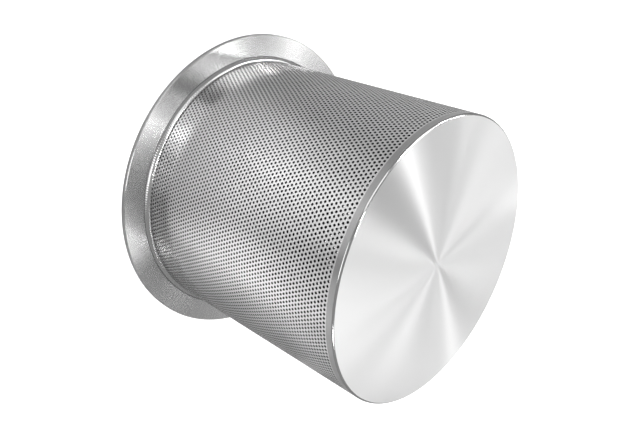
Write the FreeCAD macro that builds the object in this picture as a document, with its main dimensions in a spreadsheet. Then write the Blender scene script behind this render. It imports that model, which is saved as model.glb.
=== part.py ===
import FreeCAD, Part
import math
import os
import Sketcher

# A welded stainless filter element: a basket of perforated sheet with a mounting flange round its
# open mouth and a turned plate that closes its far end. It stands on the flange, mouth down, and
# its axis is Z. Z = 0 is the flange's back face, and the sheet's lengthwise seam lies at +Y.

doc = FreeCAD.newDocument("filter_element")
sheet = doc.addObject("Spreadsheet::Sheet", "Sizes")

SIZES = [
    ("element_height", 160.0, "from the flange's back face to the end cap's face"),
    ("tube_outer_diameter", 172.0, "outside of the rolled sheet"),
    ("sheet_thickness", 1.2, "wall of the rolled sheet"),
    ("seam_width", 1.6, "gap between the sheet's rolled edges, which the seam weld fills"),
    ("flange_width", 16.5, "how far the mounting flange reaches out from the tube"),
    ("flange_thickness", 3.2, "between the flange's two turned faces"),
    ("flange_chamfer", 0.4, "on both edges of the flange's rim"),
    ("mouth_lip", 0.8, "how far the flange reaches in past the tube's inside"),
    ("weld_step_depth", 0.3, "of the step turned in the flange's face for the tube and its weld"),
    ("weld_step_margin", 0.3, "from the fillet weld's toe to that step's edge"),
    ("flange_weld_leg", 2.6, "both legs of the fillet weld round the tube"),
    ("weld_clearance", 0.05, "between a weld's curved side and the piece it lies on"),
    ("cap_rim_thickness", 3.5, "of the end cap outside the tube"),
    ("cap_chamfer", 1.0, "on the end cap's outer edge"),
    ("cap_register_depth", 2.4, "of the step that centres the end cap in the tube"),
    ("cap_register_clearance", 0.15, "round that step"),
    ("cap_weld_height", 1.2, "of the flush weld between tube and end cap"),
    ("opening_width", 17.2, "across the flats of one opening in the sheet"),
    ("opening_pitch", 31.5, "from one opening to the next round the tube"),
    ("plain_margin_low", 3.0, "plain sheet between the fillet weld and the lowest openings"),
    ("plain_margin_high", 3.0, "plain sheet between the highest openings and the tube's end"),
]
for row, (alias, size, meaning) in enumerate(SIZES, start=1):
    sheet.set("A%d" % row, meaning)
    sheet.set("B%d" % row, str(size))
    sheet.setAlias("B%d" % row, alias)
doc.recompute()

# Heights and radii that more than one piece uses, each worked out once from the sizes.
TUBE_OUTER = "(Sizes.tube_outer_diameter / 2)"
TUBE_INNER = "(Sizes.tube_outer_diameter / 2 - Sizes.sheet_thickness)"
TUBE_LOW = "(Sizes.flange_thickness - Sizes.weld_step_depth)"
CAP_SHOULDER = "(Sizes.element_height - Sizes.cap_rim_thickness)"
TUBE_HIGH = "(%s - Sizes.cap_weld_height)" % CAP_SHOULDER
CAP_REGISTER = "(%s - Sizes.cap_register_clearance)" % TUBE_INNER
FLANGE_OUTER = "(%s + Sizes.flange_width)" % TUBE_OUTER
MOUTH = "(%s - Sizes.mouth_lip)" % TUBE_INNER
WELD_TOE = "(%s + Sizes.flange_weld_leg)" % TUBE_OUTER
WELD_TOP = "(%s + Sizes.flange_weld_leg)" % TUBE_LOW
WELD_STEP = "(%s + Sizes.weld_step_margin)" % WELD_TOE
CAP_REGISTER_END = "(%s - Sizes.cap_register_depth)" % CAP_SHOULDER

# The seam lies at +Y. Angles are counted from +X for a profile, and from the seam for an opening.
SEAM_DIRECTION = "90 deg"
SEAM_ANGLE = "(2 * asin(Sizes.seam_width / Sizes.tube_outer_diameter))"
SEAM_START = "(%s - %s / 2)" % (SEAM_DIRECTION, SEAM_ANGLE)
SEAM_END = "(%s + %s / 2)" % (SEAM_DIRECTION, SEAM_ANGLE)

# The openings' staggered rows, as many as the pitch allows, spread over the wall between margins.
OPENING_SIDES = 6
OPENING_REACH = "(Sizes.opening_width / 2 / cos(180 deg / %d))" % OPENING_SIDES
OPENINGS_AROUND = "round(pi * Sizes.tube_outer_diameter / Sizes.opening_pitch)"
OPENING_ANGLE = "(360 deg / %s)" % OPENINGS_AROUND
LOWEST_ROW = "(%s + Sizes.plain_margin_low + %s)" % (WELD_TOP, OPENING_REACH)
HIGHEST_ROW = "(%s - Sizes.plain_margin_high - %s)" % (TUBE_HIGH, OPENING_REACH)
ROW_GAPS = "round((%s - %s) / (Sizes.opening_pitch * cos(30 deg)))" % (HIGHEST_ROW, LOWEST_ROW)
OPENING_ROWS = "(%s + 1)" % ROW_GAPS
ROW_SPACING = "((%s - %s) / %s)" % (HIGHEST_ROW, LOWEST_ROW, ROW_GAPS)


def value(expression):
    return float(sheet.evalExpression(expression))


def make_body(label):
    body = doc.addObject("PartDesign::Body", label)
    body.Label = label
    return body


def origin_feature(body, role):
    return next(feature for feature in body.Origin.OriginFeatures if feature.Role == role)


def make_sketch(body, name, turn=None):
    """A sketch on the plane through the axis, with its own x along X and its own y along Z.

    turn names the angle, from the X axis towards the Y axis, that the plane is turned about Z.
    """
    sketch = body.newObject("Sketcher::SketchObject", name)
    sketch.AttachmentSupport = [(origin_feature(body, "XZ_Plane"), "")]
    sketch.MapMode = "FlatFace"
    if turn:
        about_height = FreeCAD.Rotation(FreeCAD.Vector(0, 1, 0), 1)
        sketch.AttachmentOffset = FreeCAD.Placement(FreeCAD.Vector(), about_height)
        sketch.setExpression("AttachmentOffset.Rotation.Angle", turn)
    return sketch


def bind(sketch, constraint, expression):
    index = sketch.addConstraint(constraint)
    sketch.setExpression("Constraints[%d]" % index, expression)


def draw_profile(sketch, corners):
    """A closed outline through corners, which are pairs of expressions for radius and height."""
    places = [FreeCAD.Vector(value(radius), value(height), 0) for radius, height in corners]
    for side, start in enumerate(places):
        end = places[(side + 1) % len(places)]
        sketch.addGeometry(Part.LineSegment(start, end), False)
    for side, (radius, height) in enumerate(corners):
        before = (side - 1) % len(corners)
        place = places[side]
        sketch.addConstraint(Sketcher.Constraint("Coincident", before, 2, side, 1))
        bind(sketch, Sketcher.Constraint("DistanceX", -1, 1, side, 1, place.x), radius)
        bind(sketch, Sketcher.Constraint("DistanceY", -1, 1, side, 1, place.y), height)


def revolve(body, name, corners, start=None, angle="360 deg"):
    """The outline turned about Z: from start through angle, or all the way round."""
    sketch = make_sketch(body, name + "_profile", start)
    draw_profile(sketch, corners)
    turned = body.newObject("PartDesign::Revolution", name)
    turned.Profile = sketch
    turned.ReferenceAxis = (sketch, ["V_Axis"])
    turned.setExpression("Angle", angle)
    return turned


# Mounting flange: a ring turned from plate. The tube stands in a shallow step turned in its face, so
# that the face outside the weld lies flat on its seat, and the bore leaves a lip inside the tube.
flange = make_body("mounting_flange")
revolve(flange, "flange_ring", [
    (MOUTH, "0"),
    (FLANGE_OUTER + " - Sizes.flange_chamfer", "0"),
    (FLANGE_OUTER, "Sizes.flange_chamfer"),
    (FLANGE_OUTER, "Sizes.flange_thickness - Sizes.flange_chamfer"),
    (FLANGE_OUTER + " - Sizes.flange_chamfer", "Sizes.flange_thickness"),
    (WELD_STEP, "Sizes.flange_thickness"),
    (WELD_STEP, TUBE_LOW),
    (MOUTH, TUBE_LOW),
])

# Rolled sheet: the tube before its openings, a cylinder whose two edges stop short of each other at
# the seam.
wall = [
    (TUBE_INNER, TUBE_LOW),
    (TUBE_OUTER, TUBE_LOW),
    (TUBE_OUTER, TUBE_HIGH),
    (TUBE_INNER, TUBE_HIGH),
]
rolled_sheet = make_body("rolled_sheet")
revolve(rolled_sheet, "sheet_wall", wall, start=SEAM_END, angle="360 deg - " + SEAM_ANGLE)
doc.recompute()


def punch_at(height, angle):
    """A six-sided punch that reaches through the wall, at a height and an angle from +X."""
    start = value(TUBE_INNER) - value("Sizes.sheet_thickness")
    reach = value(OPENING_REACH)
    corners = []
    for corner in range(OPENING_SIDES + 1):
        turn = math.tau * (corner + 0.5) / OPENING_SIDES
        across, up = reach * math.cos(turn), reach * math.sin(turn)
        corners.append(FreeCAD.Vector(start, across, height + up))
    through = FreeCAD.Vector(3 * value("Sizes.sheet_thickness"), 0, 0)
    solid = Part.Face(Part.makePolygon(corners)).extrude(through)
    solid.rotate(FreeCAD.Vector(0, 0, 0), FreeCAD.Vector(0, 0, 1), angle)
    return solid


# Perforated tube: the rolled sheet with its openings. The real sheet has round openings of 1.5 mm at
# a pitch of 2.5 mm, some fourteen thousand of them. They are drawn twelve times coarser here and
# six-sided, in the same staggered rows and with the same open area, and the one that would fall on
# the seam is left out of every second row. Cutting them all at once keeps the build short.
punches = []
for row in range(round(value(OPENING_ROWS))):
    row_height = value(LOWEST_ROW) + row * value(ROW_SPACING)
    first = 0.5 if row % 2 == 0 else 1.0
    in_row = round(value(OPENINGS_AROUND) - 2 * first + 1)
    for place in range(in_row):
        from_seam = (first + place) * value(OPENING_ANGLE)
        punches.append(punch_at(row_height, value(SEAM_DIRECTION) + from_seam))
perforated_tube = doc.addObject("Part::Feature", "perforated_tube")
perforated_tube.Label = "perforated_tube"
perforated_tube.Shape = rolled_sheet.Shape.cut(Part.makeCompound(punches))
perforated_tube.Placement = FreeCAD.Placement()

# Seam weld: the bead between the rolled sheet's two edges, planished flush with the wall.
seam = make_body("seam_weld")
revolve(seam, "seam_bead", wall, start=SEAM_START, angle=SEAM_ANGLE)

# Flange weld: the fillet round the tube, in the step of the flange that the tube stands in.
flange_weld = make_body("flange_weld")
fillet_inner = TUBE_OUTER + " + Sizes.weld_clearance"
revolve(flange_weld, "fillet_bead", [
    (WELD_TOE, TUBE_LOW),
    (fillet_inner, WELD_TOP),
    (fillet_inner, TUBE_LOW),
])

# End cap: a disc turned from plate, with a bevelled rim and a step that centres it in the tube.
cap = make_body("end_cap")
revolve(cap, "cap_disc", [
    ("0", CAP_REGISTER_END),
    (CAP_REGISTER, CAP_REGISTER_END),
    (CAP_REGISTER, CAP_SHOULDER),
    (TUBE_OUTER, CAP_SHOULDER),
    (TUBE_OUTER, "Sizes.element_height - Sizes.cap_chamfer"),
    (TUBE_OUTER + " - Sizes.cap_chamfer", "Sizes.element_height"),
    ("0", "Sizes.element_height"),
])

# Cap weld: the bead between the tube's end and the end cap, ground flush with the tube.
cap_weld = make_body("cap_weld")
revolve(cap_weld, "flush_bead", [
    (CAP_REGISTER + " + Sizes.weld_clearance", TUBE_HIGH),
    (TUBE_OUTER, TUBE_HIGH),
    (TUBE_OUTER, CAP_SHOULDER),
    (CAP_REGISTER + " + Sizes.weld_clearance", CAP_SHOULDER),
])

doc.recompute()
for item in doc.Objects:
    if "Invalid" in item.State or "Error" in item.State:
        raise RuntimeError("%s did not rebuild: %s" % (item.Name, item.State))

pieces = [flange, perforated_tube, seam, flange_weld, cap, cap_weld]
for piece in pieces:
    if piece.Shape.isNull() or not piece.Shape.isValid():
        raise RuntimeError("%s has no valid shape" % piece.Label)

os.makedirs("parts", exist_ok=True)
for piece in pieces:
    piece.Shape.exportStep("parts/%s.step" % piece.Label)
    print("%s: %d solid, %.1f mm3" % (piece.Label, len(piece.Shape.Solids), piece.Shape.Volume))
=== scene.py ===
import math

import bmesh
import bpy
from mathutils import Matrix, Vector


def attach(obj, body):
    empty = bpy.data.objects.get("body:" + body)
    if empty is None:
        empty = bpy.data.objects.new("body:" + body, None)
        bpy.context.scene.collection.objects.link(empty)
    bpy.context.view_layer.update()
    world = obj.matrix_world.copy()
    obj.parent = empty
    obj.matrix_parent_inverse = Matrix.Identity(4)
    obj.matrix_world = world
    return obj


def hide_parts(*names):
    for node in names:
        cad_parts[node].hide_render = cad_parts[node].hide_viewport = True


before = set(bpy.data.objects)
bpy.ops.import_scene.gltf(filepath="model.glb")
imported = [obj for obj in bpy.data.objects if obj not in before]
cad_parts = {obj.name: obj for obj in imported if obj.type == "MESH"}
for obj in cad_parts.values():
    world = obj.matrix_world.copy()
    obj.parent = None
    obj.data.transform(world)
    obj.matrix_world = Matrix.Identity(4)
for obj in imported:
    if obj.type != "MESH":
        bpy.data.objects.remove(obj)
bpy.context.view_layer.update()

bpy.ops.object.select_all(action="DESELECT")
scene = bpy.context.scene
scene.view_settings.view_transform = "Standard"


# Perforated sheet: 1.2 mm stainless sheet with round openings of 1.5 mm in staggered rows, 216 to a
# turn, rolled into a tube. It stands in the flange's step and the cap closes it. One opening with
# the sheet round it is modelled, copied round the tube, and its row is copied up the wall.
FULL_TURN = math.tau
TUBE_OUTER = 0.0860
SHEET_THICKNESS = 0.0012
# The sheet runs up from the flange's step to the cap weld.
STEP_HEIGHT = 0.0029
TUBE_TOP = 0.1553
OPENINGS_AROUND = 216
LOWEST_ROW = 0.0067
ROW_SPACING = 0.002197
# The openings have eight sides each, and one of this radius is as large as a round one of 1.5 mm.
OPENING_SIDES = 8
OPENING_RADIUS = 0.00079
# The tube is made of four rings, one above the other, with this many pairs of rows in each.
ROW_PAIRS = (9, 8, 9, 8)
MERGE_DISTANCE = 0.00002

tube_inner = TUBE_OUTER - SHEET_THICKNESS
opening_turn = FULL_TURN / OPENINGS_AROUND
half_width = TUBE_OUTER * math.sin(opening_turn / 2)
half_height = ROW_SPACING / 2
# The sheet round one opening is flat, so its middle lies nearer the axis than its two sides.
flatness = math.cos(opening_turn / 2)
middle = (0, -TUBE_OUTER * flatness, LOWEST_ROW)
bpy.ops.mesh.primitive_circle_add(
    vertices=OPENING_SIDES, radius=OPENING_RADIUS, location=middle, rotation=(math.pi / 2, 0, 0))
row_pair = bpy.context.object
row_pair.name = "row_pair"
bpy.ops.object.transform_apply(location=True, rotation=True, scale=True)

# The opening's edge is widened to the oblong of sheet round it, and its diagonal corners go on out
# to the corners of that oblong.
bpy.ops.object.mode_set(mode="EDIT")
bpy.ops.mesh.select_all(action="SELECT")
bpy.ops.mesh.extrude_region_move(TRANSFORM_OT_translate={"value": (0, 0, 0)})
bpy.ops.transform.resize(
    value=(half_width / OPENING_RADIUS, 1, half_height / OPENING_RADIUS), center_override=middle)
shell = bmesh.from_edit_mesh(row_pair.data)
for vertex in shell.verts:
    sideways = abs(vertex.co.x) > half_width / 2
    upwards = abs(vertex.co.z - LOWEST_ROW) > half_height / 2
    vertex.select_set(vertex.select and sideways and upwards)
shell.select_flush(True)
bpy.ops.transform.resize(value=(math.sqrt(2), 1, math.sqrt(2)), center_override=middle)

# The oblong gets its thickness, and its four side walls go, where its neighbours join it. Their
# middles lie further out than this share of its half width or height.
NEAR_SIDE = 0.97
bpy.ops.mesh.select_all(action="SELECT")
bpy.ops.mesh.extrude_region_move(
    TRANSFORM_OT_translate={"value": (0, SHEET_THICKNESS * flatness, 0)})
bpy.ops.transform.resize(value=(tube_inner / TUBE_OUTER, 1, 1), center_override=middle)
bpy.ops.mesh.select_all(action="DESELECT")
bpy.ops.mesh.select_mode(type="FACE")
shell = bmesh.from_edit_mesh(row_pair.data)
for face in shell.faces:
    centre = face.calc_center_median()
    beside = abs(centre.x) > NEAR_SIDE * half_width
    above = abs(centre.z - LOWEST_ROW) > NEAR_SIDE * half_height
    face.select_set(beside or above)
bmesh.update_edit_mesh(row_pair.data)
bpy.ops.mesh.delete(type="ONLY_FACE")

# The opening is copied round the tube, and the row once more, half an opening on, as the row above.
bpy.ops.mesh.select_mode(type="VERT")
bpy.ops.mesh.select_all(action="SELECT")
bpy.ops.mesh.spin(
    steps=OPENINGS_AROUND - 1, dupli=True, angle=FULL_TURN - opening_turn,
    center=(0, 0, 0), axis=(0, 0, 1))
bpy.ops.mesh.select_all(action="SELECT")
bpy.ops.mesh.remove_doubles(threshold=MERGE_DISTANCE)
bpy.ops.mesh.duplicate_move(TRANSFORM_OT_translate={"value": (0, 0, ROW_SPACING)})
bpy.ops.transform.rotate(value=opening_turn / 2, orient_axis="Z", center_override=(0, 0, 0))
bpy.ops.mesh.select_all(action="SELECT")
bpy.ops.mesh.remove_doubles(threshold=MERGE_DISTANCE)
bpy.ops.object.mode_set(mode="OBJECT")


def bare_steel(name, roughness):
    """Return a new bare metal of this roughness, and its shader."""
    steel = bpy.data.materials.new(name)
    steel.use_nodes = True
    shader = steel.node_tree.nodes["Principled BSDF"]
    shader.inputs["Metallic"].default_value = 1.0
    shader.inputs["Roughness"].default_value = roughness
    return steel, shader


# The outside is bright rolled steel with a faint mottle. The inside is rougher and painted dark, as
# painted shade within the basket, and the openings' punched walls are painted near-black as the
# shade inside them.
sheet_steel, shader = bare_steel("perforated_steel", 0.20)
nodes, links = sheet_steel.node_tree.nodes, sheet_steel.node_tree.links
place = nodes.new("ShaderNodeTexCoord")
mottle = nodes.new("ShaderNodeTexNoise")
mottle.inputs["Scale"].default_value = 40.0
mottle.inputs["Detail"].default_value = 3.0
tint = nodes.new("ShaderNodeValToRGB")
tint.color_ramp.elements[0].color = (0.78, 0.78, 0.78, 1)
tint.color_ramp.elements[1].color = (0.90, 0.90, 0.90, 1)
links.new(place.outputs["Object"], mottle.inputs["Vector"])
links.new(mottle.outputs["Fac"], tint.inputs["Fac"])
links.new(tint.outputs["Color"], shader.inputs["Base Color"])
painted_shade_inside_steel, shader = bare_steel("perforated_steel_inside_painted_shade", 0.5)
shader.inputs["Base Color"].default_value = (0.20, 0.20, 0.20, 1)
painted_shade_opening_steel, shader = bare_steel("perforated_steel_opening_painted_shade", 0.3)
shader.inputs["Base Color"].default_value = (0.06, 0.06, 0.06, 1)
for steel in (sheet_steel, painted_shade_inside_steel, painted_shade_opening_steel):
    row_pair.data.materials.append(steel)
OUTSIDE, PAINTED_SHADE_INSIDE, PAINTED_SHADE_OPENING = range(3)
mid_wall = (TUBE_OUTER + tube_inner) / 2
# Inside faces and the openings' walls get the steels painted dark as shade.
for face in row_pair.data.polygons:
    corners = [row_pair.data.vertices[index].co for index in face.vertices]
    outside = [math.hypot(corner.x, corner.y) > mid_wall for corner in corners]
    if all(outside):
        face.material_index = OUTSIDE
    elif any(outside):
        face.material_index = PAINTED_SHADE_OPENING
    else:
        face.material_index = PAINTED_SHADE_INSIDE

# Each ring is the pair of rows stacked up. The lowest ring runs on down to the flange's step as a
# plain margin, and the highest one up to the cap weld. Then each ring's two ends are closed. An
# edge this near to an end belongs to it.
AT_END = 0.0002
rows_below = 0
for number, pairs in enumerate(ROW_PAIRS, start=1):
    ring = row_pair.copy()
    ring.data = row_pair.data.copy()
    ring.name = "perforated_ring_%d" % number
    scene.collection.objects.link(ring)
    ring.location.z = rows_below * ROW_SPACING
    bpy.ops.object.select_all(action="DESELECT")
    ring.select_set(True)
    bpy.context.view_layer.objects.active = ring
    stack = ring.modifiers.new("rows", "ARRAY")
    stack.count = pairs
    stack.use_relative_offset = False
    stack.use_constant_offset = True
    stack.constant_offset_displace = (0, 0, 2 * ROW_SPACING)
    stack.use_merge_vertices = True
    stack.merge_threshold = MERGE_DISTANCE
    bpy.ops.object.modifier_apply(modifier="rows")
    bpy.ops.object.transform_apply(location=True, rotation=False, scale=False)
    low = LOWEST_ROW + (rows_below - 0.5) * ROW_SPACING
    high = low + 2 * pairs * ROW_SPACING
    lowest = number == 1
    highest = number == len(ROW_PAIRS)
    bpy.ops.object.mode_set(mode="EDIT")
    for end, plain_end, has_margin in ((low, STEP_HEIGHT, lowest), (high, TUBE_TOP, highest)):
        bpy.ops.mesh.select_all(action="DESELECT")
        bpy.ops.mesh.select_mode(type="EDGE")
        shell = bmesh.from_edit_mesh(ring.data)
        for edge in shell.edges:
            at_end = all(abs(vertex.co.z - end) < AT_END for vertex in edge.verts)
            edge.select_set(edge.is_boundary and at_end)
        bmesh.update_edit_mesh(ring.data)
        if has_margin:
            bpy.ops.mesh.extrude_region_move(
                TRANSFORM_OT_translate={"value": (0, 0, plain_end - end)})
        bpy.ops.mesh.bridge_edge_loops()
    bpy.ops.mesh.select_mode(type="VERT")
    bpy.ops.mesh.select_all(action="SELECT")
    bpy.ops.mesh.normals_make_consistent(inside=False)
    bpy.ops.object.mode_set(mode="OBJECT")
    bpy.ops.object.shade_smooth_by_angle(angle=math.radians(35))
    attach(ring, "root")
    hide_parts("perforated_tube")
    rows_below += 2 * pairs
bpy.data.objects.remove(row_pair)


# Mounting flange: a ring turned from 3.2 mm stainless plate, bored for the mouth, with chamfered
# edges and a shallow step in its face that the sheet stands in. The fillet weld holds the two.
FLANGE_OUTER = 0.1025
FLANGE_BORE = 0.0840
FLANGE_THICKNESS = 0.0032
FLANGE_CHAMFER = 0.0004
STEP_OUTER = 0.0889
TURNED_SIDES = 360
flange_profile = (
    (FLANGE_BORE, 0.0),
    (FLANGE_OUTER - FLANGE_CHAMFER, 0.0),
    (FLANGE_OUTER, FLANGE_CHAMFER),
    (FLANGE_OUTER, FLANGE_THICKNESS - FLANGE_CHAMFER),
    (FLANGE_OUTER - FLANGE_CHAMFER, FLANGE_THICKNESS),
    (STEP_OUTER, FLANGE_THICKNESS),
    (STEP_OUTER, STEP_HEIGHT),
    (FLANGE_BORE, STEP_HEIGHT),
)


def turned(name, profile, closed, sides):
    """Turn a profile of radii and heights round the axis, as on a lathe, and return the piece."""
    bpy.ops.mesh.primitive_plane_add(location=(0, 0, 0))
    piece = bpy.context.object
    piece.name = name
    bpy.ops.object.mode_set(mode="EDIT")
    bpy.ops.mesh.delete(type="VERT")
    shell = bmesh.from_edit_mesh(piece.data)
    corners = [shell.verts.new((radius, 0, height)) for radius, height in profile]
    for number, corner in enumerate(corners):
        if closed or number > 0:
            shell.edges.new((corners[number - 1], corner))
    bmesh.update_edit_mesh(piece.data)
    bpy.ops.mesh.select_all(action="SELECT")
    bpy.ops.mesh.spin(steps=sides, angle=FULL_TURN, center=(0, 0, 0), axis=(0, 0, 1))
    bpy.ops.mesh.select_all(action="SELECT")
    bpy.ops.mesh.remove_doubles(threshold=MERGE_DISTANCE)
    bpy.ops.mesh.normals_make_consistent(inside=False)
    bpy.ops.object.mode_set(mode="OBJECT")
    return piece


flange = turned("flange_ring", flange_profile, closed=True, sides=TURNED_SIDES)
bpy.ops.object.shade_smooth_by_angle(angle=math.radians(30))

# Turned steel: the lathe leaves fine grooves round the axis. They stretch each lamp's reflection
# into a ray, and show as marks that follow the distance from the axis.
turned_steel, shader = bare_steel("turned_steel", 0.3)
nodes, links = turned_steel.node_tree.nodes, turned_steel.node_tree.links
shader.inputs["Base Color"].default_value = (0.60, 0.60, 0.60, 1)
shader.inputs["Anisotropic"].default_value = 0.95
shader.inputs["Anisotropic Rotation"].default_value = 0.25
grooves = nodes.new("ShaderNodeTangent")
grooves.direction_type = "RADIAL"
grooves.axis = "Z"
place = nodes.new("ShaderNodeTexCoord")
level = nodes.new("ShaderNodeVectorMath")
level.operation = "MULTIPLY"
level.inputs[1].default_value = (1, 1, 0)
distance = nodes.new("ShaderNodeVectorMath")
distance.operation = "LENGTH"
tool_marks = nodes.new("ShaderNodeTexNoise")
tool_marks.noise_dimensions = "1D"
tool_marks.inputs["Scale"].default_value = 2200.0
tool_marks.inputs["Detail"].default_value = 2.0
relief = nodes.new("ShaderNodeBump")
relief.inputs["Strength"].default_value = 0.15
relief.inputs["Distance"].default_value = 0.00004
links.new(grooves.outputs["Tangent"], shader.inputs["Tangent"])
links.new(place.outputs["Object"], level.inputs[0])
links.new(level.outputs["Vector"], distance.inputs[0])
links.new(distance.outputs["Value"], tool_marks.inputs["W"])
links.new(tool_marks.outputs["Fac"], relief.inputs["Height"])
links.new(relief.outputs["Normal"], shader.inputs["Normal"])

# On the flange the same steel is finer and has no such marks. Faint streaks of painted reflection
# run across the ring, by bearing.
flange_steel = turned_steel.copy()
flange_steel.name = "turned_steel_flange"
nodes, links = flange_steel.node_tree.nodes, flange_steel.node_tree.links
nodes.remove(nodes["Bump"])
shader = nodes["Principled BSDF"]
shader.inputs["Roughness"].default_value = 0.24
place = nodes.new("ShaderNodeTexCoord")
parts = nodes.new("ShaderNodeSeparateXYZ")
bearing = nodes.new("ShaderNodeMath")
bearing.operation = "ARCTAN2"
painted_reflection_streaks = nodes.new("ShaderNodeTexNoise")
painted_reflection_streaks.noise_dimensions = "1D"
painted_reflection_streaks.inputs["Scale"].default_value = 90.0
painted_reflection_streaks.inputs["Detail"].default_value = 3.0
shade = nodes.new("ShaderNodeValToRGB")
shade.color_ramp.elements[0].position = 0.3
shade.color_ramp.elements[0].color = (0.52, 0.52, 0.52, 1)
shade.color_ramp.elements[1].position = 0.7
shade.color_ramp.elements[1].color = (0.58, 0.58, 0.58, 1)
links.new(place.outputs["Object"], parts.inputs["Vector"])
links.new(parts.outputs["Y"], bearing.inputs[0])
links.new(parts.outputs["X"], bearing.inputs[1])
links.new(bearing.outputs["Value"], painted_reflection_streaks.inputs["W"])
links.new(painted_reflection_streaks.outputs["Fac"], shade.inputs["Fac"])
links.new(shade.outputs["Color"], shader.inputs["Base Color"])

# The walls that run along the axis, such as the rim and the bore, are polished. Their normals rise
# less than this.
TURNED, POLISHED = range(2)
FLANGE_WALL_RISE = 0.3
rim_steel, shader = bare_steel("turned_steel_rim", 0.12)
shader.inputs["Base Color"].default_value = (0.50, 0.50, 0.50, 1)
flange.data.materials.append(flange_steel)
flange.data.materials.append(rim_steel)
for face in flange.data.polygons:
    face.material_index = POLISHED if abs(face.normal.z) < FLANGE_WALL_RISE else TURNED
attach(flange, "root")
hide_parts("mounting_flange")


# End cap: a disc turned from stainless plate, with a slightly rounded bevel at its edge and a step
# that centres it in the sheet. The cap weld joins it to the sheet's end and is ground flush.
ELEMENT_HEIGHT = 0.1600
CAP_SHOULDER = 0.1565
CENTRING_RADIUS = 0.08465
CENTRING_LOW = 0.1541
BEVEL = 0.0010
BEVEL_CROWN = 0.0001
BEVEL_STEPS = 4
cap_profile = [
    (0.0, CENTRING_LOW),
    (CENTRING_RADIUS, CENTRING_LOW),
    (CENTRING_RADIUS, CAP_SHOULDER),
    (TUBE_OUTER, CAP_SHOULDER),
]
for count in range(BEVEL_STEPS + 1):
    share = count / BEVEL_STEPS
    crown = BEVEL_CROWN * math.sin(math.pi * share)
    radius = TUBE_OUTER - BEVEL * share + crown
    cap_profile.append((radius, ELEMENT_HEIGHT - BEVEL * (1 - share) + crown))
cap_profile.append((0.0, ELEMENT_HEIGHT))
cap = turned("cap_disc", cap_profile, closed=False, sides=TURNED_SIDES)
bpy.ops.object.shade_smooth_by_angle(angle=math.radians(20))

# The cap's flat face keeps the lathe's marks. Its bevel and its side, whose normals rise less than
# this, are polished.
CAP_EDGE_RISE = 0.95
cap.data.materials.append(turned_steel)
cap.data.materials.append(rim_steel)
for face in cap.data.polygons:
    face.material_index = POLISHED if abs(face.normal.z) < CAP_EDGE_RISE else TURNED
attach(cap, "root")
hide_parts("end_cap")


# Flange weld: the fillet bead of stainless steel round the sheet in the flange's step. Its section
# is slightly full, and it is laid down in small overlapping ripples that run round the tube.
BEAD_INNER = 0.08605
BEAD_OUTER = 0.0886
BEAD_TOP = 0.0055
BEAD_FULLNESS = 1.44
BEAD_STEPS = 5
BEAD_SIDES = 1440
bead_profile = [(BEAD_INNER, STEP_HEIGHT)]
for count in range(BEAD_STEPS + 1):
    angle = math.pi / 2 * count / BEAD_STEPS
    across = math.cos(angle) ** (2 / BEAD_FULLNESS)
    up = math.sin(angle) ** (2 / BEAD_FULLNESS)
    bead_profile.append((
        BEAD_INNER + (BEAD_OUTER - BEAD_INNER) * across,
        STEP_HEIGHT + (BEAD_TOP - STEP_HEIGHT) * up))
bead = turned("flange_bead", bead_profile, closed=True, sides=BEAD_SIDES)

# The ripples stand on the bead's open side. They lag as they spread out from the sheet, and a slow
# waver runs round with them. The foot and the upper edge stay where they touch flange and sheet.
RIPPLES = 360
RIPPLE_HEIGHT = 0.00006
RIPPLE_LAG = 6
WAVERS = 17
WAVER_HEIGHT = 0.00005
STILL_EDGE = 0.0001
bpy.ops.object.mode_set(mode="EDIT")
shell = bmesh.from_edit_mesh(bead.data)
for vertex in shell.verts:
    turn = math.atan2(vertex.co.y, vertex.co.x)
    radius = math.hypot(vertex.co.x, vertex.co.y)
    if STEP_HEIGHT + STILL_EDGE < vertex.co.z < BEAD_TOP - STILL_EDGE:
        lag = RIPPLE_LAG * (radius - TUBE_OUTER) / (BEAD_OUTER - TUBE_OUTER)
        ripple = RIPPLE_HEIGHT * math.sin(RIPPLES * turn + lag)
        ripple += WAVER_HEIGHT * math.sin(WAVERS * turn)
        vertex.co.x *= 1 + ripple / radius
        vertex.co.y *= 1 + ripple / radius
        vertex.co.z += ripple
bmesh.update_edit_mesh(bead.data)
bpy.ops.object.mode_set(mode="OBJECT")
bpy.ops.object.shade_smooth_by_angle(angle=math.radians(40))

weld_steel, shader = bare_steel("weld_steel", 0.22)
shader.inputs["Base Color"].default_value = (0.50, 0.50, 0.50, 1)
bead.data.materials.append(weld_steel)
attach(bead, "root")
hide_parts("flange_weld")


# Cap weld and seam weld: both beads of stainless steel are dressed flush with the sheet, so their
# own solids stand here. The cap weld is polished with the cap's rim, and the seam keeps the weld's
# finish.
for name, finish in (("cap_weld", rim_steel), ("seam_weld", weld_steel)):
    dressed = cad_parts[name]
    dressed.data.materials.clear()
    dressed.data.materials.append(finish)


# Floor: plain pale paper that shows pure white. Within this distance of the axis it doesn't shine,
# so the openings look into the dark inside of the basket.
DARK_RADIUS = 0.1
bpy.ops.mesh.primitive_plane_add(size=6, location=(0, 0, 0))
floor = bpy.context.object
floor.name = "floor"
paper = bpy.data.materials.new("floor_paper")
paper.use_nodes = True
nodes, links = paper.node_tree.nodes, paper.node_tree.links
shader = nodes["Principled BSDF"]
shader.inputs["Base Color"].default_value = (0.42, 0.42, 0.42, 1)
shader.inputs["Roughness"].default_value = 0.9
shader.inputs["Emission Color"].default_value = (1, 1, 1, 1)
ray = nodes.new("ShaderNodeLightPath")
place = nodes.new("ShaderNodeTexCoord")
distance = nodes.new("ShaderNodeVectorMath")
distance.operation = "LENGTH"
clear = nodes.new("ShaderNodeMath")
clear.operation = "GREATER_THAN"
clear.inputs[1].default_value = DARK_RADIUS
shown = nodes.new("ShaderNodeMath")
shown.operation = "MULTIPLY"
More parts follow.
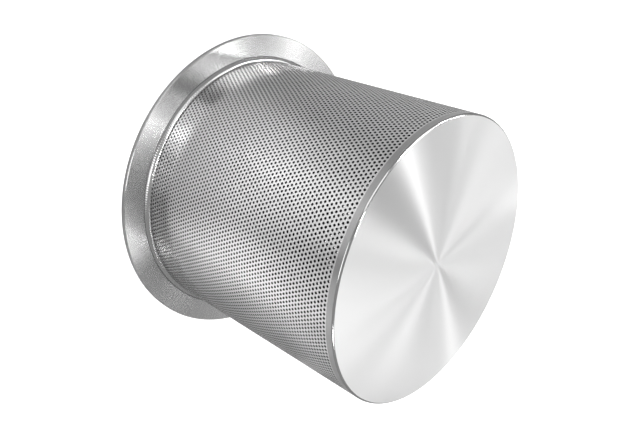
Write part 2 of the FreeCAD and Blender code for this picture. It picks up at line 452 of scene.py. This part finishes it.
links.new(place.outputs["Object"], distance.inputs[0])
links.new(distance.outputs["Value"], clear.inputs[0])
links.new(ray.outputs["Is Camera Ray"], shown.inputs[0])
links.new(clear.outputs["Value"], shown.inputs[1])
links.new(shown.outputs["Value"], shader.inputs["Emission Strength"])
floor.data.materials.append(paper)

# Surround: the studio's even white walls. The camera sees them in full, and they light the element
# less than that.
studio = bpy.data.worlds.new("studio")
scene.world = studio
studio.use_nodes = True
nodes, links = studio.node_tree.nodes, studio.node_tree.links
walls = nodes["Background"]
walls.inputs["Color"].default_value = (1, 1, 1, 1)
ray = nodes.new("ShaderNodeLightPath")
glow = nodes.new("ShaderNodeMapRange")
glow.inputs["To Min"].default_value = 0.43
glow.inputs["To Max"].default_value = 1.0
links.new(ray.outputs["Is Camera Ray"], glow.inputs["Value"])
links.new(glow.outputs["Result"], walls.inputs["Strength"])

# Soft boxes: square lamps that face the element's middle. Each has its azimuth and elevation in
# degrees as seen from there, its distance, its width and its power in watts.
MIDDLE = Vector((0, 0, ELEMENT_HEIGHT / 2))
SOFT_BOXES = (
    (165, 30, 0.9, 0.12, 1.04),
    (150, 30, 0.9, 0.12, 0.33),
    (135, 30, 0.9, 0.12, 0.55),
    (75, 30, 0.9, 0.12, 0.10),
    (75, 30, 0.9, 0.30, 0.08),
    (180, 42, 0.9, 0.42, 1.3),
    (45, 66, 0.9, 0.42, 1.8),
    (90, 18, 1.5, 0.60, 1.9),
    (112.5, 18, 1.5, 0.60, 2.3),
    (240, 42, 0.9, 0.42, 0.88),
    (-67.5, 18, 0.9, 0.36, 1.2),
)


def seen_from(centre, azimuth, elevation, distance):
    """Return the place at this azimuth, elevation and distance from the centre."""
    turn, rise = math.radians(azimuth), math.radians(elevation)
    level = distance * math.cos(rise)
    return centre + Vector(
        (level * math.cos(turn), level * math.sin(turn), distance * math.sin(rise)))


def hung_lamp(name, kind, power, where, aim):
    """Hang a lamp of this kind and power where it faces its aim, and return its settings."""
    settings = bpy.data.lights.new(name, kind)
    settings.energy = power
    lamp = bpy.data.objects.new(name, settings)
    scene.collection.objects.link(lamp)
    lamp.location = where
    lamp.rotation_euler = (where - aim).to_track_quat("Z", "Y").to_euler()
    return settings


for number, (azimuth, elevation, distance, width, power) in enumerate(SOFT_BOXES, start=1):
    where = seen_from(MIDDLE, azimuth, elevation, distance)
    soft_box = hung_lamp("soft_box_%d" % number, "AREA", power, where, MIDDLE)
    soft_box.shape = "SQUARE"
    soft_box.size = width

# Snooted lamps: each lights one piece alone. Those that aim at the end cap draw the bright rays on
# its turned face, and those that aim at the flange draw the bright bands across it. Each has its
# aim, its azimuth, elevation and distance as seen from there, its power in watts, its own radius
# and the width of its beam in degrees.
CAP_FACE = Vector((0, 0, ELEMENT_HEIGHT))
FLANGE_CENTRE = Vector((0, 0, STEP_HEIGHT))
FLANGE_WAY = 0.095
SNOOT_BLEND = 0.1
FLANGE_LEFT, FLANGE_FRONT_LEFT, FLANGE_FRONT = (
    seen_from(FLANGE_CENTRE, azimuth, 0, FLANGE_WAY) for azimuth in (187, 224, 264))
SNOOTS = (
    (CAP_FACE, 189.6, 49.0, 0.90, 25.0, 0.012, 13.3),
    (CAP_FACE, 0.2, 39.0, 0.90, 7.0, 0.100, 13.3),
    (CAP_FACE, 90.0, 64.5, 0.90, 2.2, 0.070, 13.3),
    (CAP_FACE, 63.9, 39.9, 0.90, 0.9, 0.070, 13.3),
    (CAP_FACE, 116.6, 47.4, 0.90, 0.5, 0.070, 13.3),
    (FLANGE_LEFT, 108.0, 43.7, 0.98, 1.7, 0.100, 7.0),
    (FLANGE_FRONT_LEFT, 108.3, 52.7, 1.04, 1.0, 0.030, 5.0),
    (FLANGE_FRONT, 243.4, 78.2, 1.03, 8.0, 0.030, 4.5),
)
for number, (aim, azimuth, elevation, distance, power, radius, beam) in enumerate(SNOOTS, start=1):
    where = seen_from(aim, azimuth, elevation, distance)
    snoot = hung_lamp("snoot_%d" % number, "SPOT", power, where, aim)
    snoot.shadow_soft_size = radius
    snoot.spot_size = math.radians(beam)
    snoot.spot_blend = SNOOT_BLEND

# Floor lamps: spots that hang over the floor and shine straight down. The polished sheet mirrors
# their soft patches. Each has its azimuth and its way from the axis, its power in watts and the
# width of its beam in degrees.
LAMP_HEIGHT = 0.7
FLOOR_LAMP_RADIUS = 0.02
FLOOR_LAMPS = (
    (-40, 0.162, 20, 13.5),
    (-90, 0.155, 8, 14),
    (-115, 0.155, 13, 14),
    (-65, 0.155, 7, 14),
    (-90, 0.255, 19, 22),
    (-40, 0.255, 16, 22),
    (-15, 0.255, 14, 22),
    (-115, 0.255, 11, 22),
)
for number, (azimuth, way, power, beam) in enumerate(FLOOR_LAMPS, start=1):
    aim = seen_from(Vector((0, 0, 0)), azimuth, 0, way)
    where = aim + Vector((0, 0, LAMP_HEIGHT))
    floor_lamp = hung_lamp("floor_lamp_%d" % number, "SPOT", power, where, aim)
    floor_lamp.shadow_soft_size = FLOOR_LAMP_RADIUS
    floor_lamp.spot_size = math.radians(beam)
    floor_lamp.spot_blend = 1.0

# Camera: above the element's front, rolled so that the element's axis lies across the view, as in
# the photograph. The angles of its turn are in degrees.
CAMERA_TURN = (-27.187, -45.879, 124.944)
camera_data = bpy.data.cameras.new("camera")
camera_data.lens = 39.65
camera_data.sensor_width = 36.0
camera = bpy.data.objects.new("camera", camera_data)
scene.collection.objects.link(camera)
camera.location = (0.0, -0.354469, 0.349797)
camera.rotation_euler = [math.radians(angle) for angle in CAMERA_TURN]
scene.camera = camera
